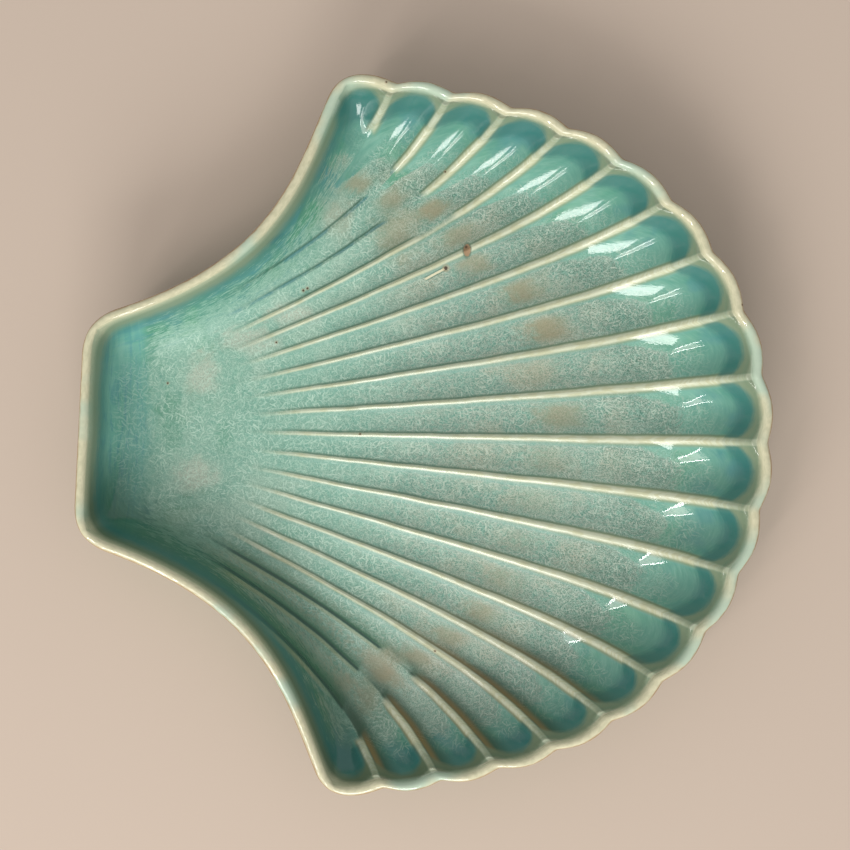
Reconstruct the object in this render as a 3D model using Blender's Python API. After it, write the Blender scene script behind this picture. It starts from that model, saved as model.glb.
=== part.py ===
"""A shell shaped serving platter: one moulded and glazed ceramic piece, standing on a low foot ring."""

import bpy
import numpy as np

MM = 0.001

# The plan, seen from above: the hinge edge lies at -X and the fan opens towards +X.
FAN_CENTRE_X = 2.3 * MM
FAN_RADIUS = 135.8 * MM
FAN_HALF_ANGLE = 105.2
FAN_CROWDING = 9.6
FAN_FLARE = 12.3 * MM
FLARE_FROM_ANGLE = 72.0
HINGE_DISTANCE = 141.2 * MM
HINGE_HALF_WIDTH = 44.8 * MM
HINGE_SKEW = 0.03
HINGE_CROWDING = 0.722
SIDE_LEAVES_HINGE_AT = 15.4
SIDE_MEETS_FAN_AT = 60.1
RIB_BOW_AT_HINGE = 39.5
RIB_BOW_AT_FAN = 9.6
HINGE_PULL = 87.0 * MM
MIDDLE_PULL = 79.0 * MM
SIDE_PULL = 37.3 * MM
FAN_CORNER_ROUND = 11.0 * MM
HINGE_CORNER_ROUND = 15.0 * MM
CORNER_DRAW_IN = 0.25

# Lobes of the fan and the ribs between them. There is a rib on the middle line and by each lobe.
LOBES_EACH_SIDE = 10
LOBE_BULGE = 2.3 * MM
BULGE_KEEPS_TO_EDGE = 8
NOTCH_SOFTNESS = 0.10
RIB_SOFTNESS = 0.15
RIB_NARROWNESS = 0.5
RIB_HEIGHT = 1.6 * MM
RIB_HEIGHT_ON_WALL = 1.9 * MM
RIB_FULL_AT_RISE = 0.5
RIB_MEETS_RIM = 13.0 * MM
RIBS_START = 0.20
RIBS_FULL = 0.50
SCOOP_DEPTH = 1.0 * MM
SCOOPS_START = 0.35
SCOOPS_FULL = 0.85
WEB_DEPTH = 2.4 * MM
WEB_STARTS = 1.1 * MM
WEB_MEETS_RIM = 7.0 * MM

# The ribs by the sides break off for a gap, and are low between that gap and the hinge.
SIDE_RIBS_FROM = 0.60
SIDE_RIBS_FULL = 0.70
LEFT_SIDE_EARLIER = 0.12
GAP_END = 0.77
GAP_END_AT_LAST_RIB = 0.89
GAP_LENGTH = 0.18
GAP_FADE = 0.06
LEFT_LAST_GAP_LONGER = 0.30
LOW_RIB_SHARE = 0.5

# Heights and the section through the wall.
RIM_HEIGHT = 38.0 * MM
RIM_THICKNESS = 4.4 * MM
FLOOR_HEIGHT = 8.2 * MM
BASE_HEIGHT = 2.8 * MM
FAN_WALL = 42.0 * MM
HINGE_WALL = 21.0 * MM
SIDE_WALL = 24.0 * MM
WALL_ROUNDNESS = 0.5
CORNER_BLEND = 2.5

# The foot ring under the base.
FOOT_FROM_WALL = 0.80
FOOT_WIDTH = 6.0 * MM
FOOT_CHAMFER = 0.9 * MM
FOOT_CORNERS = 5.0

# How finely the surfaces are divided. NEAR is the share taken for "just beside" on a line.
NEAR = 0.04
STEPS_PER_LOBE = 5
RIM_STEPS = 5
LAST_LOBE_STEPS = 2
FLOOR_LINES = (0.0, 0.03, 0.08, 0.16, 0.27, 0.4, 0.53, 0.65, 0.75, 0.83, 0.89, 0.94, 0.975, 1.0)
OUTER_WALL_LINES = (0.015, 0.075, 0.2, 0.4, 0.7, 1.0)
BASE_LINES = (0.5,)

GLAZE_COLOUR = (0.22, 0.45, 0.38, 1.0)
GLAZE_ROUGHNESS = 0.12


def clear_scene():
    for obj in list(bpy.data.objects):
        bpy.data.objects.remove(obj, do_unlink=True)


def heading(degrees):
    angle = np.radians(degrees)
    return np.stack([np.cos(angle), np.sin(angle)], axis=-1)


def smooth_step(value, start, end):
    t = np.clip((value - start) / (end - start), 0.0, 1.0)
    return t * t * (3.0 - 2.0 * t)


def lobe_arch(across, softness):
    """0 on a rib and 1 midway between two; the last half lobe stays at 1."""
    lobes = np.minimum(np.abs(across) * LOBES_EACH_SIDE, LOBES_EACH_SIDE - 0.5)
    wave = np.abs(np.sin(np.pi * lobes))
    return (np.hypot(wave, softness) - softness) / (np.hypot(1.0, softness) - softness)


def hinge_edge(across):
    y = HINGE_HALF_WIDTH * ((1.0 - HINGE_CROWDING) * across + HINGE_CROWDING * across**3)
    return np.stack([-HINGE_DISTANCE + HINGE_SKEW * y, y], axis=-1)


def fan_angle(across):
    return FAN_HALF_ANGLE * across + FAN_CROWDING * (across - across**3)


def fan_edge(across):
    angle = fan_angle(across)
    past = np.maximum(np.abs(angle) - FLARE_FROM_ANGLE, 0.0) / (FAN_HALF_ANGLE - FLARE_FROM_ANGLE)
    radius = FAN_RADIUS + FAN_FLARE * past**2
    return radius[..., None] * heading(angle)


def pull_at_fan(across):
    return MIDDLE_PULL + (SIDE_PULL - MIDDLE_PULL) * across**2


def round_corner(points, side, end, reach):
    """Draws the points near a corner inward, so that the two edges meet in one smooth curve."""
    corner, on_side, on_end = rib_line(
        np.array([side, side, side * (1.0 - NEAR)]), np.array([end, abs(end - NEAR), end])
    )
    to_side = (on_side - corner) / np.linalg.norm(on_side - corner)
    to_end = (on_end - corner) / np.linalg.norm(on_end - corner)
    near = np.clip(1.0 - np.linalg.norm(points - corner, axis=-1) / reach, 0.0, None)
    return points + CORNER_DRAW_IN * reach * near[..., None] ** 2 * (to_side + to_end)


def rib_line(across, along):
    """The plan point at a share across (-1 to 1) and along (0 at the hinge, 1 at the fan's edge)."""
    bow = across - across**3
    start, end = hinge_edge(across), fan_edge(across)
    leaving = heading(SIDE_LEAVES_HINGE_AT * across + RIB_BOW_AT_HINGE * bow)
    arriving = heading(SIDE_MEETS_FAN_AT * across + RIB_BOW_AT_FAN * bow)
    first = start + HINGE_PULL * leaving
    second = end - pull_at_fan(across)[..., None] * arriving
    t = along[..., None]
    point = (1 - t) ** 3 * start + 3 * t * (1 - t) ** 2 * first
    point = point + 3 * t * t * (1 - t) * second + t**3 * end
    bulge = LOBE_BULGE * lobe_arch(across, NOTCH_SOFTNESS) * along**BULGE_KEEPS_TO_EDGE
    return point + bulge[..., None] * heading(fan_angle(across))


def plan(across, along):
    across, along = np.broadcast_arrays(np.asarray(across, float), np.asarray(along, float))
    points = rib_line(across, along)
    for side in (-1.0, 1.0):
        points = round_corner(points, side, 0.0, HINGE_CORNER_ROUND)
        points = round_corner(points, side, 1.0, FAN_CORNER_ROUND)
    return points


def distances(across, along):
    """How far a plan point lies inside the fan's edge, the hinge edge and the nearer side."""
    here = plan(across, along)
    side = np.where(across < 0.0, -1.0, 1.0)
    fan = np.linalg.norm(here - plan(across, np.ones_like(along)), axis=-1)
    hinge = np.linalg.norm(here - plan(across, np.zeros_like(along)), axis=-1)
    flank = np.linalg.norm(here - plan(side, along), axis=-1)
    return fan, hinge, flank


def blended(values):
    """The smallest of the values, rounded where two of them are near each other."""
    total = sum(np.maximum(value, 1e-9) ** -CORNER_BLEND for value in values)
    return total ** (-1.0 / CORNER_BLEND)


def wall_rise(share):
    """1 at the top of the wall and 0 where it has run out into the floor."""
    left = 1.0 - np.clip(share, 0.0, 1.0)
    return WALL_ROUNDNESS * (1.0 - np.sqrt(1.0 - left**2)) + (1.0 - WALL_ROUNDNESS) * left**2


def rim_shoulder():
    """Height at which the rolled rim turns into the wall."""
    return RIM_HEIGHT - 0.5 * RIM_THICKNESS


def last_rib():
    return 1.0 - 1.0 / LOBES_EACH_SIDE


def rib_strength(across, along):
    """Share of its full height that a rib has at a place."""
    grown = smooth_step(along, RIBS_START, RIBS_FULL)
    reach = np.abs(across) + LEFT_SIDE_EARLIER * np.maximum(across, 0.0)
    broken = smooth_step(reach, SIDE_RIBS_FROM, SIDE_RIBS_FULL)
    low = smooth_step(np.abs(across), SIDE_RIBS_FROM, SIDE_RIBS_FULL)
    outward = np.clip((np.abs(across) - SIDE_RIBS_FULL) / (last_rib() - SIDE_RIBS_FULL), 0.0, 1.0)
    end = GAP_END + (GAP_END_AT_LAST_RIB - GAP_END) * outward**2
    start = end - GAP_LENGTH - LEFT_LAST_GAP_LONGER * smooth_step(across, last_rib() - NEAR, last_rib())
    after_gap = smooth_step(along, end - GAP_FADE, end)
    in_gap = smooth_step(along, start, start + GAP_FADE) * (1.0 - after_gap)
    lowered = (1.0 - LOW_RIB_SHARE) * low * (1.0 - after_gap)
    return grown * (1.0 - broken * in_gap) * (1.0 - lowered)


def inside_height(across, along):
    """Floor, wall, rolled rim, scooped lobes and ribs, as one height above the table."""
    fan, hinge, flank = distances(across, along)
    edge = blended([fan, hinge, flank])
    arch = lobe_arch(across, RIB_SOFTNESS)
    web = WEB_DEPTH * (1.0 - arch) * smooth_step(fan, WEB_STARTS, WEB_MEETS_RIM)
    shares = [
        np.maximum(fan - RIM_THICKNESS - web, 0.0) / FAN_WALL,
        np.maximum(hinge - RIM_THICKNESS, 0.0) / HINGE_WALL,
        np.maximum(flank - RIM_THICKNESS, 0.0) / SIDE_WALL,
    ]
    rise = wall_rise(blended(shares))
    offset = np.clip(2.0 * edge / RIM_THICKNESS - 1.0, -1.0, 1.0)
    roll = 0.5 * RIM_THICKNESS * np.sqrt(1.0 - offset**2)
    on_wall = np.clip(rise / RIB_FULL_AT_RISE, 0.0, 1.0)
    tall = RIB_HEIGHT + (RIB_HEIGHT_ON_WALL - RIB_HEIGHT) * on_wall
    rib = tall * (1.0 - arch**RIB_NARROWNESS) * rib_strength(across, along)
    scoop = SCOOP_DEPTH * (1.0 - lobe_arch(across, 0.0) ** 2)
    relief = rib + scoop * smooth_step(along, SCOOPS_START, SCOOPS_FULL)
    height = FLOOR_HEIGHT + (rim_shoulder() - FLOOR_HEIGHT) * rise
    return height + roll + relief * smooth_step(edge, RIM_THICKNESS, RIB_MEETS_RIM)


def outside_height(across, along):
    fan, hinge, flank = distances(across, along)
    shares = [fan / FAN_WALL, hinge / HINGE_WALL, flank / SIDE_WALL]
    rise = wall_rise(blended(shares))
    return BASE_HEIGHT + (rim_shoulder() - BASE_HEIGHT) * rise


def hinge_speed():
    return 3.0 * HINGE_PULL


def fan_speed(across):
    return 3.0 * pull_at_fan(across)


def side_speed(along):
    """Plan distance at the side for a whole unit across."""
    gap = plan(np.ones_like(along), along) - plan(np.full_like(along, 1.0 - NEAR), along)
    return np.linalg.norm(gap, axis=-1) / NEAR


def rim_offsets():
    turn = np.linspace(0.0, np.pi, RIM_STEPS + 1)
    return 0.5 * RIM_THICKNESS * (1.0 - np.cos(turn))


def grid_shares():
    """(across, along) of the inside surface's grid, one row for each line across the shell."""
    rim = rim_offsets()
    rim_at_hinge = rim / hinge_speed()
    labels, offsets = column_plan(rim)
    rows = []
    for kind, value in row_plan(len(rim)):
        if kind == "hinge":
            along = np.full_like(labels, rim_at_hinge[value])
        elif kind == "fan":
            along = 1.0 - rim[value] / fan_speed(labels)
        else:
            fan_end = 1.0 - rim[-1] / fan_speed(labels)
            along = rim_at_hinge[-1] + (fan_end - rim_at_hinge[-1]) * value
        rows.append((columns_at(labels, offsets, along), along))
    across = np.array([row[0] for row in rows])
    along = np.array([row[1] for row in rows])
    return across, along


def row_plan(count):
    hinge = [("hinge", i) for i in range(count - 1)]
    fan = [("fan", i) for i in range(count - 2, -1, -1)]
    return hinge + [("floor", value) for value in FLOOR_LINES] + fan


def column_plan(rim):
    """Share across of each column, and for the columns by a side how far they lie inside it."""
    rib = last_rib()
    middle = np.linspace(-rib, rib, 2 * (LOBES_EACH_SIDE - 1) * STEPS_PER_LOBE + 1)
    between = np.linspace(0.0, 1.0, LAST_LOBE_STEPS + 2)[1:-1]
    right_labels = np.concatenate([rib + 0.0 * between, np.ones(len(rim))])
    right_offsets = np.concatenate([-between, rim[::-1]])
    labels = np.concatenate([-right_labels[::-1], middle, right_labels])
    offsets = np.concatenate([right_offsets[::-1], np.zeros_like(middle), right_offsets])
    return labels, offsets


def columns_at(labels, offsets, along):
    """The share across of every column for one row."""
    side = np.sign(labels)
    inner = 1.0 - RIM_THICKNESS / side_speed(along)
    by_rim = 1.0 - offsets / side_speed(along)
    between = last_rib() - offsets * (inner - last_rib())
    across = np.where(np.abs(labels) == 1.0, side * by_rim, labels)
    return np.where(offsets < 0.0, side * between, across)


def boundary_of(rows, columns):
    """Grid indices round the edge, anticlockwise seen from above."""
    bottom = [(0, c) for c in range(columns - 1, -1, -1)]
    left = [(r, 0) for r in range(1, rows)]
    top = [(rows - 1, c) for c in range(1, columns)]
    right = [(r, columns - 1) for r in range(rows - 2, 0, -1)]
    return [r * columns + c for r, c in bottom + left + top + right]


def ring_shares(across, along, wall_share, extra, roundness):
    """The edge's shares drawn in by part of each wall and an extra distance, with rounded corners."""
    lengthways = 2.0 * along - 1.0
    reach = np.abs(across) ** FOOT_CORNERS + np.abs(lengthways) ** FOOT_CORNERS
    pulled = 1.0 + (reach ** (-1.0 / FOOT_CORNERS) - 1.0) * roundness
    at_hinge = (wall_share * HINGE_WALL + extra) / hinge_speed()
    at_fan = 1.0 - (wall_share * FAN_WALL + extra) / fan_speed(across * pulled)
    along = at_hinge + (at_fan - at_hinge) * 0.5 * (1.0 + lengthways * pulled)
    width = 1.0 - (wall_share * SIDE_WALL + extra) / side_speed(along)
    return across * pulled * width, along


def foot_section():
    """(extra distance inwards, height) down the foot's outer face, under it and up the inner face."""
    return (
        (FOOT_CHAMFER, 0.0),
        (FOOT_WIDTH - FOOT_CHAMFER, 0.0),
        (FOOT_WIDTH, BASE_HEIGHT),
    )


def ring_points(across, along):
    rings = []
    for line in OUTER_WALL_LINES:
        shares = ring_shares(across, along, line * FOOT_FROM_WALL, 0.0, line)
        rings.append(np.column_stack([plan(*shares), outside_height(*shares)]))
    for extra, height in foot_section():
        shares = ring_shares(across, along, FOOT_FROM_WALL, extra, 1.0)
        rings.append(np.column_stack([plan(*shares), np.full(len(across), height)]))
    inner = rings[-1]
    middle = np.append(plan(0.0, 0.5), BASE_HEIGHT)
    for line in BASE_LINES:
        rings.append(middle + (inner - middle) * line)
    return rings, middle


def grid_faces(rows, columns):
    return [
        (r * columns + c, (r + 1) * columns + c, (r + 1) * columns + c + 1, r * columns + c + 1)
        for r in range(rows - 1)
        for c in range(columns - 1)
    ]


def ring_faces(edge, first, count, middle):
    """Quads from the edge down through the rings, closed by triangles to the middle point."""
    size = len(edge)
    loops = [list(edge)] + [list(range(first + k * size, first + (k + 1) * size)) for k in range(count)]
    faces = []
    for upper, lower in zip(loops, loops[1:]):
        for i in range(size):
            j = (i + 1) % size
            faces.append((upper[j], upper[i], lower[i], lower[j]))
    last = loops[-1]
    faces += [(last[(i + 1) % size], last[i], middle) for i in range(size)]
    return faces


def platter_mesh():
    across, along = grid_shares()
    rows, columns = across.shape
    flat_across, flat_along = across.ravel(), along.ravel()
    top = np.column_stack([plan(flat_across, flat_along), inside_height(flat_across, flat_along)])
    edge = boundary_of(rows, columns)
    rings, middle = ring_points(flat_across[edge], flat_along[edge])
    points = np.vstack([top] + rings + [middle[None, :]])
    points[:, 0] += FAN_CENTRE_X
    faces = grid_faces(rows, columns)
    faces += ring_faces(edge, len(top), len(rings), len(points) - 1)
    mesh = bpy.data.meshes.new("platter")
    mesh.from_pydata(points.tolist(), [], faces)
    mesh.validate()
    mesh.update()
    return mesh


def glaze():
    material = bpy.data.materials.new("glazed_ceramic")
    material.use_nodes = True
    shader = material.node_tree.nodes["Principled BSDF"]
    shader.inputs["Base Color"].default_value = GLAZE_COLOUR
    shader.inputs["Roughness"].default_value = GLAZE_ROUGHNESS
    shader.inputs["Metallic"].default_value = 0.0
    return material


def build():
    clear_scene()
    mesh = platter_mesh()
    mesh.materials.append(glaze())
    for polygon in mesh.polygons:
        polygon.use_smooth = True
    platter = bpy.data.objects.new("platter", mesh)
    bpy.context.scene.collection.objects.link(platter)


build()
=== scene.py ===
import math

import bpy
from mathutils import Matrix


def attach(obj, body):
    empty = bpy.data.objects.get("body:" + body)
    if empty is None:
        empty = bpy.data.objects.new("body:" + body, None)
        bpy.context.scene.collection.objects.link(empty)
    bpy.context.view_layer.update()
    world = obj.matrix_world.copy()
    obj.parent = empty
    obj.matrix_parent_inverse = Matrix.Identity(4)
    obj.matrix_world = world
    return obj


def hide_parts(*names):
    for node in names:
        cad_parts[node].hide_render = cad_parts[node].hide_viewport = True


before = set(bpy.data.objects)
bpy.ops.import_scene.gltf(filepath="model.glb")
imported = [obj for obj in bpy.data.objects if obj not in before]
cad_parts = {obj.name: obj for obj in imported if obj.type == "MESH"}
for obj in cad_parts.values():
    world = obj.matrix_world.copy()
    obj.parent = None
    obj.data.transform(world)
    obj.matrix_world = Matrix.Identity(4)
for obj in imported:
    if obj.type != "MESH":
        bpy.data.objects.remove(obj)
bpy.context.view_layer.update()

# The platter: one shell shaped dish of pale clay, pressed in a mould and fired, with a fan of
# raised ribs across its hollow, a scalloped rolled rim and a foot ring turned up under its base.
# Its surface is worked out from the line that each rib takes from the hinge edge to the fan's edge.
MM = 0.001
PLAN_SIZES = {
    "Fan Radius": 135.8 * MM,
    "Fan Half Angle": 105.2,
    "Fan Crowding": 9.6,
    "Fan Flare": 12.3 * MM,
    "Flare From Angle": 72.0,
    "Hinge Distance": 141.2 * MM,
    "Hinge Half Width": 44.8 * MM,
    "Hinge Skew": 0.03,
    "Hinge Crowding": 0.722,
    "Side Leaves Hinge At": 15.4,
    "Side Meets Fan At": 60.1,
    "Rib Bow At Hinge": 39.5,
    "Rib Bow At Fan": 9.6,
    "Hinge Pull": 87.0 * MM,
    "Middle Pull": 79.0 * MM,
    "Side Pull": 37.3 * MM,
    "Lobes Each Side": 10.0,
    "Lobe Bulge": 2.3 * MM,
    "Notch Softness": 0.10,
    "Hinge Corner Round": 15.0 * MM,
    "Fan Corner Round": 11.0 * MM,
    "Corner Draw In": 0.25,
}
SECTION_SIZES = {
    "Fan Centre": 2.3 * MM,
    "Rim Height": 38.0 * MM,
    "Rim Thickness": 4.4 * MM,
    "Floor Height": 8.2 * MM,
    "Base Height": 2.8 * MM,
    "Fan Wall": 42.0 * MM,
    "Hinge Wall": 21.0 * MM,
    "Side Wall": 24.0 * MM,
    "Wall Roundness": 0.5,
    "Corner Blend": 2.5,
    "Rib Softness": 0.15,
    "Rib Narrowness": 0.5,
    "Rib Height": 1.6 * MM,
    "Rib Height On Wall": 1.9 * MM,
    "Rib Full At Rise": 0.5,
    "Rib Meets Rim": 13.0 * MM,
    "Ribs Start": 0.20,
    "Ribs Full": 0.50,
    "Scoop Depth": 1.0 * MM,
    "Scoops Start": 0.35,
    "Scoops Full": 0.85,
    "Web Depth": 2.4 * MM,
    "Web Starts": 1.1 * MM,
    "Web Meets Rim": 7.0 * MM,
    "Side Ribs From": 0.60,
    "Side Ribs Full": 0.70,
    "Left Side Earlier": 0.12,
    "Gap End": 0.77,
    "Gap End At Last Rib": 0.89,
    "Gap Length": 0.18,
    "Gap Fade": 0.06,
    "Left Last Gap Longer": 0.30,
    "Low Rib Share": 0.5,
    "Foot From Wall": 0.80,
    "Foot Width": 6.0 * MM,
    "Foot Corners": 5.0,
    "Unevenness": 0.8 * MM,
    "Unevenness Spread": 18.0 * MM,
    "Chip Depth": 0.5 * MM,
    "Chip Half Width": 1.7 * MM,
    "Chip Half Length": 2.9 * MM,
    "Chip X": 16.4 * MM,
    "Chip Y": 78.0 * MM,
}
STEPS_PER_LOBE = 15
LAST_LOBE_STEPS = 12
COLUMNS_CLOSE_UP = 0.09
RIM_STEPS = 9
ROWS = 200
ROWS_CLOSE_UP = 0.11
OUTER_WALL_RINGS = 14
FOOT_RINGS = 10
BASE_RINGS = 3
NEAR = 0.04
LAST_RIB_STEP = 9 * STEPS_PER_LOBE
HALF_COLUMNS = LAST_RIB_STEP + LAST_LOBE_STEPS + RIM_STEPS
COLUMNS = 2 * HALF_COLUMNS + 1
LOOP = 2 * (COLUMNS - 1) + 2 * (ROWS - 1)
RINGS = OUTER_WALL_RINGS + FOOT_RINGS + BASE_RINGS


class Workings:
    """A node tree being filled. Its node method adds any node, with settings first and then sockets."""

    def __init__(self, tree):
        self.tree = tree

    def node(self, kind, settings=None, sockets=None, output=0):
        node = self.tree.nodes.new(kind)
        for name, value in (settings or {}).items():
            if name == "stops":
                self.set_stops(node.color_ramp, value)
            else:
                setattr(node, name, value)
        for name, value in (sockets or {}).items():
            if isinstance(value, Wire):
                self.tree.links.new(value.socket, node.inputs[name])
            else:
                node.inputs[name].default_value = value
        return Wire(self, node.outputs[output]) if len(node.outputs) else node

    @staticmethod
    def set_stops(ramp, stops):
        while len(ramp.elements) < len(stops):
            ramp.elements.new(1.0)
        for element, (place, colour) in zip(ramp.elements, stops):
            element.position = place
            element.color = colour


class Wire:
    """A socket that arithmetic can be done with: each operation adds the Math node that works it out."""

    def __init__(self, workings, socket):
        self.workings = workings
        self.socket = socket

    def maths(self, operation, *others):
        sockets = dict(enumerate((self,) + others))
        return self.workings.node("ShaderNodeMath", {"operation": operation}, sockets)

    def reflected(self, operation, other):
        return self.workings.node("ShaderNodeMath", {"operation": operation}, {0: other, 1: self})

    def other_output(self, name):
        return Wire(self.workings, self.socket.node.outputs[name])

    def __add__(self, other):
        return self.maths("ADD", other)

    def __sub__(self, other):
        return self.maths("SUBTRACT", other)

    def __rsub__(self, other):
        return self.reflected("SUBTRACT", other)

    def __mul__(self, other):
        return self.maths("MULTIPLY", other)

    def __truediv__(self, other):
        return self.maths("DIVIDE", other)

    def __rtruediv__(self, other):
        return self.reflected("DIVIDE", other)

    def __pow__(self, other):
        return self.maths("POWER", other)

    def __neg__(self):
        return self.maths("MULTIPLY", -1.0)

    def __abs__(self):
        return self.maths("ABSOLUTE")

    __radd__ = __add__
    __rmul__ = __mul__

    def sine(self):
        return self.maths("SINE")

    def cosine(self):
        return self.maths("COSINE")

    def root(self):
        return self.maths("SQRT")

    def sign(self):
        return self.maths("SIGN")

    def least(self, other):
        return self.maths("MINIMUM", other)

    def most(self, other):
        return self.maths("MAXIMUM", other)

    def held(self, low=0.0, high=1.0):
        return self.most(low).least(high)

    def smooth_step(self, start, end):
        t = ((self - start) / (end - start)).held()
        return t * t * (3.0 - 2.0 * t)

    def below(self, start, end):
        return 1.0 - self.smooth_step(start, end)

    def within(self, start, full, fading, end):
        return self.smooth_step(start, full) * self.below(fading, end)


def distance(a, b):
    return ((a[0] - b[0]) ** 2.0 + (a[1] - b[1]) ** 2.0).root()


def new_tree(name, sizes, outputs):
    """A geometry tree with a named input for each size; returns its workings and its inputs."""
    tree = bpy.data.node_groups.new(name, "GeometryNodeTree")
    for label, value in sizes.items():
        kind = "NodeSocketGeometry" if value is None else "NodeSocketFloat"
        socket = tree.interface.new_socket(name=label, in_out="INPUT", socket_type=kind)
        if value is not None:
            socket.default_value = value
    for label, kind in outputs.items():
        tree.interface.new_socket(name=label, in_out="OUTPUT", socket_type=kind)
    workings = Workings(tree)
    entry = tree.nodes.new("NodeGroupInput")
    return workings, {label: Wire(workings, entry.outputs[label]) for label in sizes}


def lobe_wave(across, lobes_each_side):
    """0 on a rib and 1 or -1 midway between two; it stays there over the last half lobe."""
    return ((abs(across) * lobes_each_side).least(lobes_each_side - 0.5) * math.pi).sine()


def lobe_arch(across, lobes_each_side, softness):
    wave = lobe_wave(across, lobes_each_side)
    floor = softness * softness
    return ((wave * wave + floor).root() - softness) / ((floor + 1.0).root() - softness)


def heading(degrees):
    angle = degrees * (math.pi / 180.0)
    return angle.cosine(), angle.sine()


def fill_rib_line():
    """The tree that finds the plan point a share across the shell and a share along its rib line."""
    sizes = dict({"Across": 0.0, "Along": 0.0}, **PLAN_SIZES)
    kinds = {"X": "NodeSocketFloat", "Y": "NodeSocketFloat"}
    workings, size = new_tree("rib line", sizes, kinds)
    across, t = size["Across"], size["Along"]
    cubed = across * across * across
    bow = across - cubed
    start_y = (across - bow * size["Hinge Crowding"]) * size["Hinge Half Width"]
    start = (size["Hinge Skew"] * start_y - size["Hinge Distance"], start_y)
    angle = size["Fan Half Angle"] * across + size["Fan Crowding"] * bow
    flare_span = size["Fan Half Angle"] - size["Flare From Angle"]
    past = (abs(angle) - size["Flare From Angle"]).most(0.0) / flare_span
    outward = heading(angle)
    radius = size["Fan Radius"] + size["Fan Flare"] * past * past
    leaving = heading(size["Side Leaves Hinge At"] * across + size["Rib Bow At Hinge"] * bow)
    arriving = heading(size["Side Meets Fan At"] * across + size["Rib Bow At Fan"] * bow)
    pull = size["Middle Pull"] + (size["Side Pull"] - size["Middle Pull"]) * across * across
    rest = 1.0 - t
    weights = (rest**3.0, 3.0 * t * rest * rest, 3.0 * t * t * rest, t**3.0)
    bulge = size["Lobe Bulge"] * t**8.0
    bulge = bulge * lobe_arch(across, size["Lobes Each Side"], size["Notch Softness"])
    ends = []
    for axis in (0, 1):
        end = radius * outward[axis]
        first = start[axis] + size["Hinge Pull"] * leaving[axis]
        second = end - pull * arriving[axis]
        point = start[axis] * weights[0] + first * weights[1] + second * weights[2]
        ends.append(point + end * weights[3] + bulge * outward[axis])
    workings.node("NodeGroupOutput", {}, {"X": ends[0], "Y": ends[1]})
    return workings.tree


def from_tree(workings, tree, sizes, own):
    """Uses a filled tree as one node and returns its X and Y."""
    sockets = {label: sizes[label] for label in PLAN_SIZES}
    sockets.update(own)
    x = workings.node("GeometryNodeGroup", {"node_tree": tree}, sockets)
    return x, x.other_output("Y")


def fill_plan(rib_line):
    """The rib lines with the shell's four corners drawn in to smooth curves."""
    sizes = dict({"Across": 0.0, "Along": 0.0}, **PLAN_SIZES)
    kinds = {"X": "NodeSocketFloat", "Y": "NodeSocketFloat"}
    workings, size = new_tree("plan of the shell", sizes, kinds)
    own = {"Across": size["Across"], "Along": size["Along"]}
    x, y = from_tree(workings, rib_line, size, own)
    for side in (-1.0, 1.0):
        for end, reach in ((0.0, size["Hinge Corner Round"]), (1.0, size["Fan Corner Round"])):
            places = ((side, end), (side, abs(end - NEAR)), (side * (1.0 - NEAR), end))
            corner, on_side, on_end = [
                from_tree(workings, rib_line, size, {"Across": a, "Along": v}) for a, v in places
            ]
            side_length, end_length = distance(on_side, corner), distance(on_end, corner)
            near = (1.0 - distance((x, y), corner) / reach).most(0.0)
            depth = near * near * reach * size["Corner Draw In"]
            inward = [
                (on_side[axis] - corner[axis]) / side_length
                + (on_end[axis] - corner[axis]) / end_length
                for axis in (0, 1)
            ]
            x, y = x + depth * inward[0], y + depth * inward[1]
    workings.node("NodeGroupOutput", {}, {"X": x, "Y": y})
    return workings.tree


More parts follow.
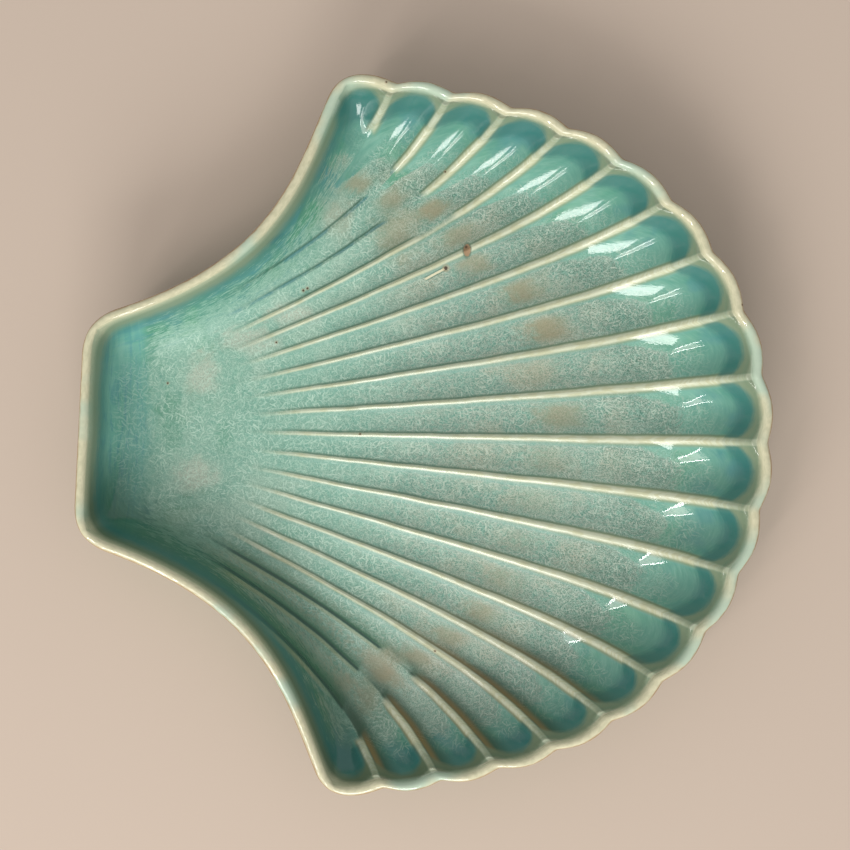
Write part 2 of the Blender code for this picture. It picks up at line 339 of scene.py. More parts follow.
def fill_shell(glaze):
    """The tree that makes the whole dish: the inside with its rim, and the outside down to the foot."""
    sizes = dict(PLAN_SIZES, **SECTION_SIZES)
    workings, size = new_tree("pressed shell dish", sizes, {"Geometry": "NodeSocketGeometry"})
    rib_line = fill_rib_line()
    plan_tree = fill_plan(rib_line)
    rim = size["Rim Thickness"]
    last_rib = 1.0 - 1.0 / size["Lobes Each Side"]

    def plan(across, along):
        return from_tree(workings, plan_tree, size, {"Across": across, "Along": along})

    def lobe_width(across, along):
        beside = [
            from_tree(workings, rib_line, size, {"Across": across + side * NEAR, "Along": along})
            for side in (-0.5, 0.5)
        ]
        return distance(beside[0], beside[1]) / (size["Lobes Each Side"] * NEAR)

    def pull_at_fan(across):
        return size["Middle Pull"] + (size["Side Pull"] - size["Middle Pull"]) * across * across

    def side_speed(along):
        return distance(plan(1.0, along), plan(1.0 - NEAR, along)) / NEAR

    def rim_offset(step):
        """Distance from the outer edge of a step over the rim, from 0 at its inner side."""
        return rim * 0.5 * ((step * (math.pi / RIM_STEPS)).cosine() + 1.0)

    def shares(column, row):
        from_middle = column - float(HALF_COLUMNS)
        step = abs(from_middle)
        past_last_rib = (step - float(LAST_RIB_STEP)).most(0.0)
        f = (past_last_rib / float(LAST_LOBE_STEPS)).least(1.0)
        rim_step = (past_last_rib - float(LAST_LOBE_STEPS)).most(0.0)
        lobes = step.least(float(LAST_RIB_STEP)) / float(STEPS_PER_LOBE)
        across = (lobes - COLUMNS_CLOSE_UP * (lobes * math.tau).sine()) / size["Lobes Each Side"]
        label = across + f * (1.0 - last_rib)
        hinge_step = (float(RIM_STEPS) - row).most(0.0)
        fan_step = (row - float(ROWS - 1 - RIM_STEPS)).most(0.0)
        t = ((row - float(RIM_STEPS)) / float(ROWS - 1 - 2 * RIM_STEPS)).held()
        t = t - ROWS_CLOSE_UP * (t * math.tau).sine()
        at_hinge = rim_offset(hinge_step) / (size["Hinge Pull"] * 3.0)
        at_fan = 1.0 - rim_offset(fan_step) / (pull_at_fan(label) * 3.0)
        along = at_hinge + (at_fan - at_hinge) * t
        reach = 1.0 - rim_offset(rim_step) / side_speed(along)
        return (across + f * (reach - last_rib)) * from_middle.sign(), along

    def distances(across, along, here):
        fan = distance(here, plan(across, 1.0))
        hinge = distance(here, plan(across, 0.0))
        side = (across + 1e-6).sign()
        return fan, hinge, distance(here, plan(side, along))

    def blended(values):
        total = sum(value.most(1e-9) ** -size["Corner Blend"] for value in values)
        return total ** (-1.0 / size["Corner Blend"])

    def wall_rise(share):
        left = 1.0 - share.held()
        round_part = 1.0 - (1.0 - left * left).root()
        return left * left + size["Wall Roundness"] * (round_part - left * left)

    shoulder = size["Rim Height"] - rim * 0.5

    def rib_strength(across, along):
        """Share of its full height that a rib has at a place, and 0 where it stays low and dark."""
        grown = along.smooth_step(size["Ribs Start"], size["Ribs Full"])
        side_from, side_full = size["Side Ribs From"], size["Side Ribs Full"]
        reach = abs(across) + size["Left Side Earlier"] * across.most(0.0)
        broken = reach.smooth_step(side_from, side_full)
        low = abs(across).smooth_step(side_from, side_full)
        outward = ((abs(across) - side_full) / (last_rib - side_full)).held()
        end = size["Gap End"] + (size["Gap End At Last Rib"] - size["Gap End"]) * outward * outward
        on_left_last = across.smooth_step(last_rib - NEAR, last_rib)
        start = end - size["Gap Length"] - size["Left Last Gap Longer"] * on_left_last
        after_gap = along.smooth_step(end - size["Gap Fade"], end)
        in_gap = along.smooth_step(start, start + size["Gap Fade"]) * (1.0 - after_gap)
        lowered = (1.0 - size["Low Rib Share"]) * low * (1.0 - after_gap)
        strength = grown * (1.0 - broken * in_gap) * (1.0 - lowered)
        return strength, 1.0 - low * (1.0 - after_gap)

    def inside_height(across, along, fan, hinge, flank):
        edge = blended([fan, hinge, flank])
        arch = lobe_arch(across, size["Lobes Each Side"], size["Rib Softness"])
        web = size["Web Depth"] * (1.0 - arch)
        web = web * fan.smooth_step(size["Web Starts"], size["Web Meets Rim"])
        fan_share = (fan - rim - web).most(0.0) / size["Fan Wall"]
        hinge_share = (hinge - rim).most(0.0) / size["Hinge Wall"]
        flank_share = (flank - rim).most(0.0) / size["Side Wall"]
        rise = wall_rise(blended([fan_share, hinge_share, flank_share]))
        offset = (2.0 * edge / rim - 1.0).held(-1.0, 1.0)
        roll = rim * 0.5 * (1.0 - offset * offset).root()
        on_wall = (rise / size["Rib Full At Rise"]).held()
        tall = size["Rib Height"] + (size["Rib Height On Wall"] - size["Rib Height"]) * on_wall
        crest = 1.0 - arch ** size["Rib Narrowness"]
        strength, pale = rib_strength(across, along)
        height = size["Floor Height"] + (shoulder - size["Floor Height"]) * rise
        wave = lobe_wave(across, size["Lobes Each Side"])
        scoop = size["Scoop Depth"] * (1.0 - wave * wave)
        relief = scoop * along.smooth_step(size["Scoops Start"], size["Scoops Full"])
        relief = relief + tall * crest * strength
        height = height + roll + relief * edge.smooth_step(rim, size["Rib Meets Rim"])
        return height, {"edge": edge, "web": web, "strength": strength, "pale": pale}

    def outside_height(fan, hinge, flank):
        parts = [fan / size["Fan Wall"], hinge / size["Hinge Wall"], flank / size["Side Wall"]]
        rise = wall_rise(blended(parts))
        return size["Base Height"] + (shoulder - size["Base Height"]) * rise

    def surface(columns, rows, x, y, height, marks, loose):
        mesh = workings.node(
            "GeometryNodeMeshGrid",
            {},
            {"Size X": 1.0, "Size Y": 1.0, "Vertices X": columns, "Vertices Y": rows},
        )
        for label, value in marks.items():
            mesh = workings.node(
                "GeometryNodeStoreNamedAttribute",
                {"data_type": "FLOAT", "domain": "POINT"},
                {"Geometry": mesh, "Name": label, "Value": value},
            )
        place = workings.node(
            "ShaderNodeCombineXYZ", {}, {"X": x + size["Fan Centre"], "Y": y, "Z": height}
        )
        sockets = {"Vector": place, "Scale": 1.0 / size["Unevenness Spread"], "Detail": 1.0}
        wander = workings.node("ShaderNodeTexNoise", {"noise_dimensions": "3D"}, sockets, 1)
        wander = workings.node(
            "ShaderNodeVectorMath", {"operation": "SUBTRACT"}, {0: wander, 1: (0.5, 0.5, 0.5)}
        )
        share = size["Unevenness"] * loose
        offset = workings.node("ShaderNodeVectorMath", {"operation": "SCALE"}, {0: wander, "Scale": share})
        sockets = {"Geometry": mesh, "Position": place, "Offset": offset}
        return workings.node("GeometryNodeSetPosition", {}, sockets)

    index = workings.node("GeometryNodeInputIndex")
    column = (index / float(ROWS)).maths("FLOOR")
    row = index - column * float(ROWS)
    across, along = shares(column, row)
    here = plan(across, along)
    fan, hinge, flank = distances(across, along, here)
    height, marks = inside_height(across, along, fan, hinge, flank)
    marks.update(across=across, along=along, from_fan=fan, from_hinge=hinge, from_side=flank)
    marks["under"] = across * 0.0
    marks["lobe_width"] = lobe_width(across, along)
    loose = marks["edge"].smooth_step(rim * 1.5, rim * 4.0)
    chip_x = (here[0] + size["Fan Centre"] - size["Chip X"]) / size["Chip Half Width"]
    chip_y = (here[1] - size["Chip Y"]) / size["Chip Half Length"]
    height = height - size["Chip Depth"] * (chip_x * chip_x + chip_y * chip_y).below(0.3, 1.2)
    inside = surface(COLUMNS, ROWS, here[0], here[1], height, marks, loose)

    ring_rows = RINGS + 1
    place = (index / float(ring_rows)).maths("FLOOR")
    ring = index - place * float(ring_rows)
    last_column, last_row = float(COLUMNS - 1), float(ROWS - 1)
    edge_column = (last_column - place).most(0.0)
    edge_column = edge_column + (place - last_column - last_row).held(0.0, last_column)
    edge_row = (place - last_column).held(0.0, last_row)
    edge_row = edge_row - (place - 2.0 * last_column - last_row).held(0.0, last_row)
    across, along = shares(edge_column, edge_row)
    line = (ring / float(OUTER_WALL_RINGS)).least(1.0) ** 2.0
    turn = ((ring - float(OUTER_WALL_RINGS)) / float(FOOT_RINGS)).held()
    inner = 1.0 - ((ring - float(OUTER_WALL_RINGS + FOOT_RINGS)) / float(BASE_RINGS)).held()
    drawn_in = line * size["Foot From Wall"]
    extra = size["Foot Width"] * 0.5 * (1.0 - (turn * math.pi).cosine())
    lengthways = 2.0 * along - 1.0
    corners = size["Foot Corners"]
    spread = abs(across) ** corners + abs(lengthways) ** corners
    pulled = 1.0 + (spread ** (-1.0 / corners) - 1.0) * line
    across = across * pulled
    at_hinge = (drawn_in * size["Hinge Wall"] + extra) / (size["Hinge Pull"] * 3.0)
    at_fan = 1.0 - (drawn_in * size["Fan Wall"] + extra) / (pull_at_fan(across) * 3.0)
    along = at_hinge + (at_fan - at_hinge) * 0.5 * (1.0 + lengthways * pulled)
    across = across * (1.0 - (drawn_in * size["Side Wall"] + extra) / side_speed(along))
    here = plan(across, along)
    fan, hinge, flank = distances(across, along, here)
    middle = plan(0.0, 0.5)
    x = middle[0] + (here[0] - middle[0]) * inner
    y = middle[1] + (here[1] - middle[1]) * inner
    on_foot = ((turn * math.pi).sine().most(0.0) ** 0.35 * 1.15).least(1.0)
    height = outside_height(fan, hinge, flank) * (1.0 - on_foot)
    marks = dict.fromkeys(("web", "strength", "pale", "lobe_width"), across * 0.0)
    marks.update(across=across, along=along, from_fan=fan, from_hinge=hinge, from_side=flank)
    marks["edge"] = blended([fan, hinge, flank])
    marks["under"] = 1.0 + line + turn
    outside = surface(LOOP + 1, ring_rows, x, y, height, marks, 0.0)
    outside = workings.node("GeometryNodeFlipFaces", {}, {"Mesh": outside})
    joined = workings.tree.nodes.new("GeometryNodeJoinGeometry")
    workings.tree.links.new(inside.socket, joined.inputs[0])
    workings.tree.links.new(outside.socket, joined.inputs[0])
    whole = Wire(workings, joined.outputs[0])
    whole = workings.node("GeometryNodeMergeByDistance", {}, {"Geometry": whole, "Distance": 1e-6})
    whole = workings.node("GeometryNodeSetShadeSmooth", {}, {"Geometry": whole})
    whole = workings.node("GeometryNodeRealizeInstances", {}, {"Geometry": whole})
    whole = workings.node("GeometryNodeSetMaterial", {}, {"Geometry": whole, "Material": glaze})
    workings.node("NodeGroupOutput", {}, {"Geometry": whole})
    return workings.tree


def linear(red, green, blue):
    """A colour as it is seen, from 0 to 255, as the linear colour that a socket takes."""
    parts = [part / 255.0 for part in (red, green, blue)]
    return tuple(p / 12.92 if p <= 0.04045 else ((p + 0.055) / 1.055) ** 2.4 for p in parts) + (1.0,)


class GlazeWorkings(Workings):
    """The workings of a glaze: marks stored on the clay, colours laid over each other, and patterns."""

    def mark(self, name):
        sockets = {"attribute_type": "GEOMETRY", "attribute_name": name}
        return self.node("ShaderNodeAttribute", sockets).other_output("Fac")

    def lay(self, share, below, above):
        """One colour laid over another by a share from 0 to 1."""
        mixed = self.node("ShaderNodeMix", {"data_type": "RGBA"}, {0: share, 6: below, 7: above})
        return mixed.other_output(2)

    def place(self, x, y, z=0.0):
        return self.node("ShaderNodeCombineXYZ", {}, {"X": x, "Y": y, "Z": z})

    def cloud(self, size, detail=2.0, where=None):
        """Soft blotches about this size, from 0 to 1 with a middle of a half."""
        sockets = {"Scale": 1.0 / size, "Detail": detail, "Roughness": 0.55}
        if where is not None:
            sockets["Vector"] = where
        return self.node("ShaderNodeTexNoise", {"noise_dimensions": "3D"}, sockets)

    def strokes(self, where, spread, length, width):
        """Short strokes lying every way, one to each cell of a scatter; sizes as shares of the spread."""
        sockets = {"Vector": where, "Scale": 1.0 / spread, "Randomness": 1.0}
        scatter = self.node("ShaderNodeTexVoronoi", {"voronoi_dimensions": "2D"}, sockets)
        away = self.node(
            "ShaderNodeVectorMath",
            {"operation": "SUBTRACT"},
            {0: where, 1: scatter.other_output("Position")},
        )
        x = self.node("ShaderNodeSeparateXYZ", {}, {"Vector": away})
        y = x.other_output("Y")
        angle = self.node("ShaderNodeSeparateColor", {}, {"Color": scatter.other_output("Color")})
        amount = angle.other_output("Green")
        angle = angle * math.tau
        x, y = x / spread, y / spread
        lengthways = x * angle.cosine() + y * angle.sine()
        bend = (amount - 0.5) * 0.7
        aside = y * angle.cosine() - x * angle.sine() + bend * lengthways * lengthways
        line = 1.0 - abs(aside).smooth_step(width * 0.4, width)
        return line * (1.0 - abs(lengthways).smooth_step(length * 0.35, length * 0.5)) * (0.4 + amount)


def sea_green_glaze():
    """Glossy glaze that runs thin and cream on edges, pools sea green in hollows and is full of crystals, with
    painted sheen and shade in places.
    """
    material = bpy.data.materials.new("sea_green_glaze")
    material.use_nodes = True
    work = GlazeWorkings(material.node_tree)
    shader = material.node_tree.nodes["Principled BSDF"]
    mark, lay, cloud = work.mark, work.lay, work.cloud
    x = work.node(
        "ShaderNodeSeparateXYZ",
        {},
        {"Vector": work.node("ShaderNodeTexCoord").other_output("Object")},
    )
    y = x.other_output("Y")
    flat = work.place(x, y)
    across, along, edge = mark("across"), mark("along"), mark("edge")
    from_fan, from_hinge, from_side = mark("from_fan"), mark("from_hinge"), mark("from_side")
    no_rib = abs(across).smooth_step(0.945, 0.952)
    lobe = (across * 10.0 + 0.5).maths("FRACT") - 0.5
    from_rib = lobe * mark("lobe_width")
    off_middle = 1.0 - (abs(lobe) * 2.0).most(no_rib)
    under_rib = (-lobe).within(0.0, 0.02, 0.1, 0.46) * (1.0 - no_rib)
    at_fan = from_fan.below(14.0 * MM, 24.0 * MM)
    wander = cloud(16.0 * MM, 3.0) - 0.5
    fine = cloud(2.6 * MM, 3.0) - 0.5

    def spot(centre_x, centre_y, half_width, half_length=None, ragged=fine * 0.5):
        """0 at a place on the dish and 1 at these distances from it, in millimetres, with a ragged edge."""
        aside = (x - centre_x * MM) / (half_width * MM)
        up = (y - centre_y * MM) / ((half_length or half_width) * MM)
        return (aside * aside + up * up).root() + ragged

    # Sea green in the open, deeper on the walls, with bluer and greener patches.
    colour = lay(cloud(45.0 * MM).smooth_step(0.35, 0.65), linear(114, 166, 149), linear(132, 178, 160))
    from_wall = from_fan.least(from_side) + wander * 14.0 * MM
    wall = from_wall.below(9.0 * MM, 34.0 * MM)
    colour = lay(wall * 0.9, colour, linear(78, 134, 120))
    blue = cloud(17.0 * MM, 3.0, work.place(x, y, 0.53)).smooth_step(0.48, 0.66)
    colour = lay(blue * from_wall.below(12.0 * MM, 40.0 * MM) * 0.7, colour, linear(70, 128, 130))
    green = cloud(22.0 * MM, 3.0, work.place(x, y, 0.37)).smooth_step(0.5, 0.66)
    green_wall = edge.within(6.0 * MM, 12.0 * MM, 20.0 * MM, 50.0 * MM)
    green_share = 0.8 - 0.6 * from_fan.below(20.0 * MM, 40.0 * MM)
    colour = lay(green * green_wall * green_share, colour, linear(76, 142, 106))

    # Blue and green streaks that run along the sides and the hinge edge.
    side_lines = cloud(1.0, 3.0, work.place(from_side / (2.6 * MM), along * 7.0, across.sign()))
    hinge_lines = cloud(1.0, 3.0, work.place(from_hinge / (1.2 * MM), across * 3.0))
    by_side = from_side.below(14.0 * MM, 26.0 * MM) * along.below(0.7, 0.95)
    by_hinge = from_hinge.below(18.0 * MM, 27.0 * MM)
    colour = lay(from_hinge.below(21.0 * MM, 27.0 * MM) * 0.8, colour, linear(108, 168, 156))
    streaks = (side_lines.smooth_step(0.5, 0.66) * by_side).most(hinge_lines.smooth_step(0.5, 0.64) * by_hinge)
    colour = lay(streaks * 0.5, colour, linear(76, 138, 148))
    pale_streaks = side_lines.below(0.34, 0.48) * by_side
    pale_streaks = pale_streaks.most(hinge_lines.below(0.34, 0.48) * by_hinge)
    colour = lay(pale_streaks * 0.2, colour, linear(140, 186, 164))

    # Crystals on the floor: a greyed ground, pale strokes, dark flecks, beige and ochre patches.
    jagged = wander * 9.0 * MM + fine * 7.0 * MM
    low_end = (-across).smooth_step(0.3, 0.65)
    each = work.node("ShaderNodeTexWhiteNoise", {"noise_dimensions": "1D"}, {"W": (across * 10.0).maths("FLOOR")})
    each = each.other_output("Value")
    finger = from_fan - (32.0 + 15.0 * under_rib - (14.0 + 9.0 * under_rib) * low_end) * MM + jagged
    ground = finger.smooth_step(-1.5 * MM, 3.5 * MM)
    ground = ground * (from_hinge + wander * 14.0 * MM + jagged).smooth_step(22.0 * MM, 32.0 * MM)
    ground = ground * (from_side + wander * 16.0 * MM + jagged).smooth_step(8.0 * MM, 16.0 * MM)
    sparse = (finger + 15.0 * MM).smooth_step(-2.0 * MM, 8.0 * MM) * edge.smooth_step(8.0 * MM, 14.0 * MM)
    sparse = sparse * (1.0 - by_side * 0.85)
    outer = x.smooth_step(-60.0 * MM, 20.0 * MM)
    grey = lay(outer, linear(138, 178, 160), linear(144, 160, 147))
    patchy = 0.35 + 0.65 * cloud(8.0 * MM, 4.0).smooth_step(0.4, 0.56)
    colour = lay(ground * patchy * 0.9, colour, grey)
    bright = cloud(26.0 * MM, 3.0, work.place(x, y, 0.61))
    colour = lay(bright.smooth_step(0.5, 0.64) * ground * 0.45, colour, linear(168, 192, 174))
    colour = lay(bright.below(0.36, 0.5) * ground * 0.35, colour, linear(112, 160, 143))
    ragged = wander * 1.6 + fine * 0.7
    for green_x, green_y, half_width, half_length in ((-106.0, 4.0, 6.0, 15.0), (-84.0, -2.0, 4.0, 8.0)):
        patch = spot(green_x, green_y, half_width, half_length, ragged).below(0.4, 1.2)
        colour = lay(patch * 0.55, colour, linear(92, 150, 126))
    for pale_x, pale_y, half_width, half_length in (
        (-94.0, 24.0, 8.0, 10.0),
        (-95.0, -18.0, 10.0, 8.0),
        (-74.0, 39.0, 13.0, 6.0),
        (-56.0, 50.0, 13.0, 5.0),
    ):
        patch = spot(pale_x, pale_y, half_width, half_length, ragged).below(0.3, 1.3)
        colour = lay(patch * ground * 0.7, colour, linear(188, 192, 175))
    beige = cloud(19.0 * MM, 2.0, work.place(x, y, 0.11)).smooth_step(0.46, 0.64)
    in_band = along.within(0.46, 0.6, 0.74, 0.84)
    colour = lay(beige * ground * in_band * 0.55, colour, linear(176, 170, 148))
    on_arc = abs(along - 0.685 - (each - 0.5) * 0.05 + wander * 0.05 + fine * 0.02).below(0.0, 0.06)
    ochre = on_arc * off_middle.below(0.25, 0.85) * (0.4 + each)
    grain = cloud(2.7 * MM, 1.5)
    tips = finger.below(6.0 * MM, 30.0 * MM) * (1.0 - low_end)
    worms = abs(grain - 0.5).below(0.02, 0.07) * (ground * (0.4 + 0.5 * outer)).most(sparse * 0.4)
    colour = lay(worms * (0.9 + 0.1 * tips), colour, linear(70, 122, 108))
    grains = grain.smooth_step(0.53, 0.64) * ground
    colour = lay(grains * 0.5, colour, lay(outer, linear(162, 198, 178), linear(168, 180, 164)))
    clumps = cloud(11.0 * MM, 3.0, work.place(x, y, 0.91)).smooth_step(0.38, 0.62)
    inner = along.within(0.12, 0.2, 0.36, 0.5)
    pale = work.strokes(flat, 3.0 * MM, 1.1, 0.12)
    pale = pale.most(work.strokes(work.place(y, x), 2.2 * MM, 1.2, 0.14))
    pale = pale.most(work.strokes(work.place(y * 0.8 - x, x * 0.8 + y), 3.4 * MM, 0.9, 0.09))
    pale = pale * ground.most(sparse * 0.5) * (0.45 + clumps * 0.55) * (1.0 - ochre * 0.5).held() * (1.0 - by_side * 0.75)
    colour = lay((pale * (0.5 - 0.04 * inner + 0.14 * tips)).held(), colour, lay(outer, linear(192, 220, 203), linear(184, 200, 184)))
    flecks = (cloud(1.8 * MM, 1.0) + tips * 0.07).smooth_step(0.6, 0.68)
    flecks = flecks * ground.most(sparse * 0.6) * (0.25 + 0.75 * along.smooth_step(0.5, 0.8))
    colour = lay(flecks * 0.8, colour, linear(60, 104, 88))
    colour = lay((ochre * ground * 0.5).held(), colour, linear(152, 146, 118))
    colour = lay(((ochre - 0.5) * ground * 0.4).held(), colour, linear(138, 124, 88))
    for tan_x, tan_y, half_width, half_length in (
        (-14.0, 84.0, 10.0, 12.0), (20.0, 73.0, 9.0, 5.0), (-16.0, -94.0, 9.0, 7.0), (-21.0, -109.0, 6.0, 9.0)
    ):
        patch = spot(tan_x, tan_y, half_width, half_length, ragged).below(0.2, 1.3)
        colour = lay(patch * 0.5, colour, linear(148, 140, 110))

    low_side = (-across).smooth_step(0.0, 0.2)
    # Painted shade: dark green along the low side and in the low corner by the hinge, away from the window.
    shaded = (-across).smooth_step(0.3, 0.95) * (from_side + wander * 20.0 * MM).below(8.0 * MM, 42.0 * MM)
    shaded = shaded * (0.75 + 0.25 * along.below(0.25, 0.5))
    colour = lay(shaded * 0.85, colour, linear(38, 86, 62))
    painted_corner_shade = (0.1 - across).smooth_step(0.2, 1.0) * from_hinge.below(8.0 * MM, 30.0 * MM)
    colour = lay(painted_corner_shade * 0.65, colour, linear(40, 92, 70))
    between = off_middle.below(0.35, 0.75) * (-across).smooth_step(0.6, 0.72) * along.within(0.18, 0.3, 0.7, 0.85)
    blush = between * cloud(6.0 * MM, 4.0).smooth_step(0.4, 0.6) * (from_side + wander * 8.0 * MM).smooth_step(8.0 * MM, 13.0 * MM)
    colour = lay(blush * 0.45, colour, linear(142, 144, 122))

    # The ribs and the rim, where the glaze runs off: cream on top, olive below, a dark line beside that is partly
    # painted shade; painted sheen and shade besides.
    strength = mark("strength")
    shown = strength.smooth_step(0.03, 0.4) * (1.0 - no_rib)
    pale_rib = mark("pale")
    width = (0.85 + 1.0 * along.smooth_step(0.35, 0.95) + wander * 0.3) * MM
    # Painted sheen: a paler teal band below each tall rib, on the flank that faces the window.
    painted_sheen_below_rib = (-from_rib).within(width * 0.8, width * 1.2, width + 0.9 * MM, width + 2.2 * MM)
    colour = lay(painted_sheen_below_rib * shown * pale_rib * (0.2 + 0.4 * along), colour, linear(102, 158, 148))
    # A dark line above each rib: glaze pooled at its foot, made deeper as painted shade on the side away from the
    # window.
    pool_and_shade_above_rib = from_rib.within(width * 0.7, width * 1.1, width + 0.3 * MM, width + 1.2 * MM)
    colour = lay(pool_and_shade_above_rib * shown * (0.55 + 0.4 * along), colour, linear(46, 92, 76))
    traced = strength.smooth_step(0.004, 0.12).most(along.within(0.19, 0.3, 0.4, 0.5) * low_side * 0.6)
    traced = traced * (1.0 - no_rib) * (1.0 - pale_rib)
    off_rib = from_rib - 0.6 * MM
    groove = off_rib.within(-1.6 * MM, 0.0, 0.4 * MM, (2.4 + 3.6 * low_side) * MM)
    colour = lay(groove * traced * (0.15 + 0.5 * low_side), colour, linear(48, 96, 66))
    beside = off_rib.within(-2.6 * MM, -1.6 * MM, -1.0 * MM, -0.3 * MM) * traced * low_side
    colour = lay(beside * along.within(0.22, 0.34, 0.6, 0.75) * 0.55, colour, linear(134, 140, 104))
    low_line = abs(off_rib).below(0.2 * MM, 0.9 * MM) * traced
    broken = low_side.most(cloud(12.0 * MM, 2.0, work.place(x, y, 0.83)).smooth_step(0.44, 0.56))
    colour = lay(low_line * broken * (0.5 + 0.3 * low_side), colour, lay(low_side, linear(40, 114, 128), linear(30, 66, 58)))
    olive = lay((0.2 - across).smooth_step(0.2, 1.1), linear(134, 148, 116), linear(142, 128, 88))
    outer_rib = along.smooth_step(0.5, 0.9)
    flank = abs(from_rib).below(width * 0.9, width + 1.7 * MM) * shown * pale_rib
    colour = lay(flank * (0.2 + 0.6 * outer_rib), colour, olive)
    cream = abs(from_rib).below(width * 0.5, width * 1.25) * shown * pale_rib
    warm = lay(cloud(18.0 * MM).smooth_step(0.4, 0.62), linear(200, 205, 180), linear(190, 192, 160))
    colour = lay(cream * (0.8 + 0.2 * outer_rib), colour, warm)
    corner = mark("web") * 0.8 + 4.2 * MM * off_middle * off_middle * off_middle
    inward = edge - corner * at_fan + (wander * 1.6 + fine * 0.5) * MM
    pool_end = (10.5 + 3.5 * at_fan) * MM
    pool = inward.below(pool_end - 4.0 * MM, pool_end)
    upper_side = across.smooth_step(0.5, 0.95) * (1.0 - at_fan)
    colour = lay(pool * (0.75 - 0.2 * upper_side) * (1.0 - cream * 0.7), colour, linear(50, 106, 102))
    # Painted shade with glaze pooling: dark olive green beside each rib in the low lobes, on the side away from
    # the window.
    shade_and_pool_in_low_lobes = lobe.within(0.0, 0.05, 0.12, 0.48) * (1.0 - no_rib) * (-across).smooth_step(0.3, 0.6)
    shade_and_pool_in_low_lobes = shade_and_pool_in_low_lobes * (along + wander * 0.15).smooth_step(0.6, 0.82) * (1.0 - cream)
    colour = lay(shade_and_pool_in_low_lobes * 0.9, colour, linear(38, 70, 50))
    brown = from_rib.within(width * 0.7, width * 1.2, width + 0.6 * MM, width + 3.4 * MM) * low_end * outer_rib
    colour = lay(brown * shown * pale_rib * (1.0 - cream) * 0.7, colour, linear(138, 112, 66))
    steep_end = (7.6 - 1.2 * at_fan * y.smooth_step(40.0 * MM, 90.0 * MM) + 0.3 * upper_side) * MM
    steep = inward.below(steep_end - 2.6 * MM, steep_end)
    # The olive band inside the rim is glaze; on the low side it is darker as painted shade.
    olive_wall_with_low_shade = lay((-across).smooth_step(0.45, 0.85), linear(124, 138, 112), linear(98, 112, 86))
    colour = lay(steep * (1.0 - cream * 0.5) * 0.92, colour, olive_wall_with_low_shade)
    rim = (edge + fine * 0.5 * MM).below(3.9 * MM, 5.4 * MM)
    celadon = cloud(30.0 * MM, 2.0, work.place(x, y, 0.71)).smooth_step(0.52, 0.66)
    buff = lay(cloud(9.0 * MM).smooth_step(0.3, 0.7), linear(186, 184, 154), linear(202, 198, 168))
    colour = lay(rim, colour, lay(celadon * 0.8, buff, linear(166, 190, 172)))
    under = mark("under")
    bare = (edge + wander * 1.6 * MM).below(0.2 * MM, 1.2 * MM) * under.below(1.0, 1.006)
    colour = lay(bare * 0.85, colour, linear(150, 116, 78))

    # Faults of this dish: a chip down to the clay, a scratch that ends in a pit, pinholes and specks.
    chip = spot(16.4, 78.0, 1.7, 2.9)
    colour = lay(chip.below(0.95, 1.3) * 0.8, colour, linear(84, 104, 84))
    colour = lay(chip.below(0.75, 1.0), colour, linear(150, 122, 92))
    colour = lay(spot(16.0, 79.4, 0.8).below(0.6, 1.0), colour, linear(96, 74, 54))
    run = (x + 1.0 * MM) * 0.875 + (y - 65.6 * MM) * 0.483
    off = abs((y - 65.6 * MM) * 0.875 - (x + 1.0 * MM) * 0.483 + fine * 0.4 * MM)
    scratched = run.within(-0.3 * MM, 0.5 * MM, 9.4 * MM, 10.2 * MM)
    colour = lay(scratched * off.below(0.7 * MM, 1.2 * MM) * 0.7, colour, linear(66, 106, 90))
    colour = lay(scratched * off.below(0.3 * MM, 0.6 * MM), colour, linear(206, 202, 172))
    specks = spot(7.7, 70.4, 0.9).least(spot(-51.9, 60.0, 0.5)).least(spot(-50.2, 60.9, 0.5))
    for speck_x, speck_y in (
        (-17.9, 141.4), (126.4, 55.1), (-62.8, 38.0), (-108.0, 20.0), (6.2, -89.9), (6.6, 110.1), (-26.9, 0.2)
    ):
        specks = specks.least(spot(speck_x, speck_y, 0.4))
    colour = lay(specks.below(1.3, 2.2) * 0.4, colour, linear(160, 132, 92))
    colour = lay(specks.below(0.7, 1.0), colour, linear(70, 56, 42))

    # The outside: the same glaze down to the foot, whose underside is bare clay.
    outside = under.smooth_step(1.002, 1.02)
    colour = lay(outside, colour, lay(cloud(24.0 * MM, 3.0), linear(96, 142, 126), linear(132, 168, 148)))
    thin = outside * under.below(1.02, 1.12)
    colour = lay(thin, colour, linear(176, 172, 140))
    clay = under.within(2.08, 2.16, 2.84, 2.92)
    colour = lay(clay, colour, linear(206, 186, 156))
    material.node_tree.links.new(colour.socket, shader.inputs["Base Color"])
    crystals = ground * (1.0 - cream)
    rough = (0.03 + 0.36 * crystals + 0.2 * cream + 0.6 * clay.most(chip.below(0.75, 1.0))).least(0.7)
    material.node_tree.links.new(rough.socket, shader.inputs["Roughness"])
    shader.inputs["IOR"].default_value = 1.52
    height = cloud(9.0 * MM, 1.0) * 0.035 + (grain * 0.03 + pale * 0.012 - flecks * 0.02) * crystals
    bump = work.node(
        "ShaderNodeBump", {}, {"Strength": 1.0, "Distance": 1.0 * MM, "Height": height}
    )
    material.node_tree.links.new(bump.socket, shader.inputs["Normal"])
    return material


def made_plain(name, tree, sizes):
    """Runs a tree on an empty mesh with these sizes and keeps the result as a plain mesh."""
    piece = bpy.data.objects.new(name, bpy.data.meshes.new(name + "_blank"))
    bpy.context.scene.collection.objects.link(piece)
    modifier = piece.modifiers.new(name, "NODES")
    modifier.node_group = tree
    for item in tree.interface.items_tree:
        if item.in_out == "INPUT" and item.name in sizes:
            modifier[item.identifier] = sizes[item.name]
    graph = bpy.context.evaluated_depsgraph_get()
    mesh = bpy.data.meshes.new_from_object(piece.evaluated_get(graph), depsgraph=graph)
    mesh.name = name
    piece.modifiers.remove(modifier)
    piece.data = mesh
    return piece


dish = made_plain("shell_dish", fill_shell(sea_green_glaze()), dict(PLAN_SIZES, **SECTION_SIZES))
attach(dish, "root")
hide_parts("platter")


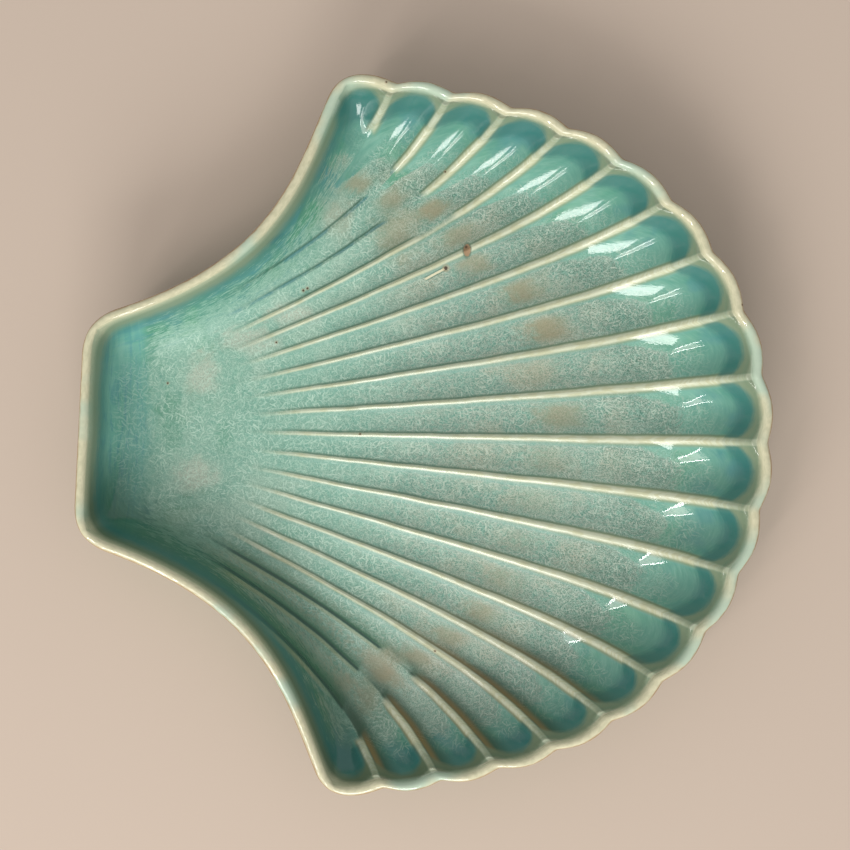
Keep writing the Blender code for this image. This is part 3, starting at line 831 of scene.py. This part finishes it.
# The table: a plain pale surface that the dish stands on.
def pale_table():
    mesh = bpy.data.meshes.new("table_top")
    half = 1.5
    corners = [(-half, -half, 0.0), (half, -half, 0.0), (half, half, 0.0), (-half, half, 0.0)]
    mesh.from_pydata(corners, [], [(0, 1, 2, 3)])
    table = bpy.data.objects.new("table_top", mesh)
    bpy.context.scene.collection.objects.link(table)
    material = bpy.data.materials.new("pale_cloth")
    material.use_nodes = True
    shader = material.node_tree.nodes["Principled BSDF"]
    shader.inputs["Base Color"].default_value = linear(190, 174, 160)
    shader.inputs["Roughness"].default_value = 0.9
    mesh.materials.append(material)
    return table


pale_table()


# The light: a large soft window low on the hinge side, and an even pale room.
def window_light(name, place, aim, width, height, power, colour):
    lamp = bpy.data.lights.new(name, "AREA")
    lamp.shape = "RECTANGLE"
    lamp.size = width
    lamp.size_y = height
    lamp.energy = power
    lamp.color = colour
    holder = bpy.data.objects.new(name, lamp)
    bpy.context.scene.collection.objects.link(holder)
    holder.location = place
    direction = [a - p for a, p in zip(aim, place)]
    length = math.sqrt(sum(part * part for part in direction))
    pitch = math.acos(-direction[2] / length)
    holder.rotation_euler = (pitch, 0.0, math.atan2(direction[1], direction[0]) - math.pi / 2)
    return holder


window_light("window", (-0.17, -2.1, 1.15), (0.0, 0.0, 0.0), 1.15, 1.0, 40.0, (1.0, 0.99, 0.96))
window_light("blind", (-1.02, -1.14, 1.29), (0.0, 0.0, 0.0), 0.34, 1.0, 5.0, (1.0, 0.88, 0.84))
window_light("first_slat", (-0.95, -1.36, 1.12), (0.0, 0.0, 0.0), 0.05, 1.1, 4.5, (1.0, 0.98, 0.95))
window_light("second_slat", (-1.08, -0.91, 1.41), (0.0, 0.0, 0.0), 0.05, 1.3, 5.5, (1.0, 0.98, 0.95))
room = bpy.data.worlds.new("pale_room")
room.use_nodes = True
room.node_tree.nodes["Background"].inputs["Color"].default_value = (1.0, 0.985, 0.965, 1.0)
room.node_tree.nodes["Background"].inputs["Strength"].default_value = 0.63
bpy.context.scene.world = room

# The camera: straight above the dish, turned a little as the photograph was.
CAMERA_HEIGHT = 0.650
VIEW_ACROSS = 0.340
eye = bpy.data.cameras.new("eye")
eye.sensor_width = 36.0
eye.lens = 36.0 * (CAMERA_HEIGHT - 0.038) / VIEW_ACROSS
camera = bpy.data.objects.new("eye", eye)
bpy.context.scene.collection.objects.link(camera)
camera.location = (0.00021, 0.00452, CAMERA_HEIGHT)
camera.rotation_euler = (0.0, 0.0, math.radians(1.1))
bpy.context.scene.camera = camera
bpy.context.scene.view_settings.view_transform = "Standard"
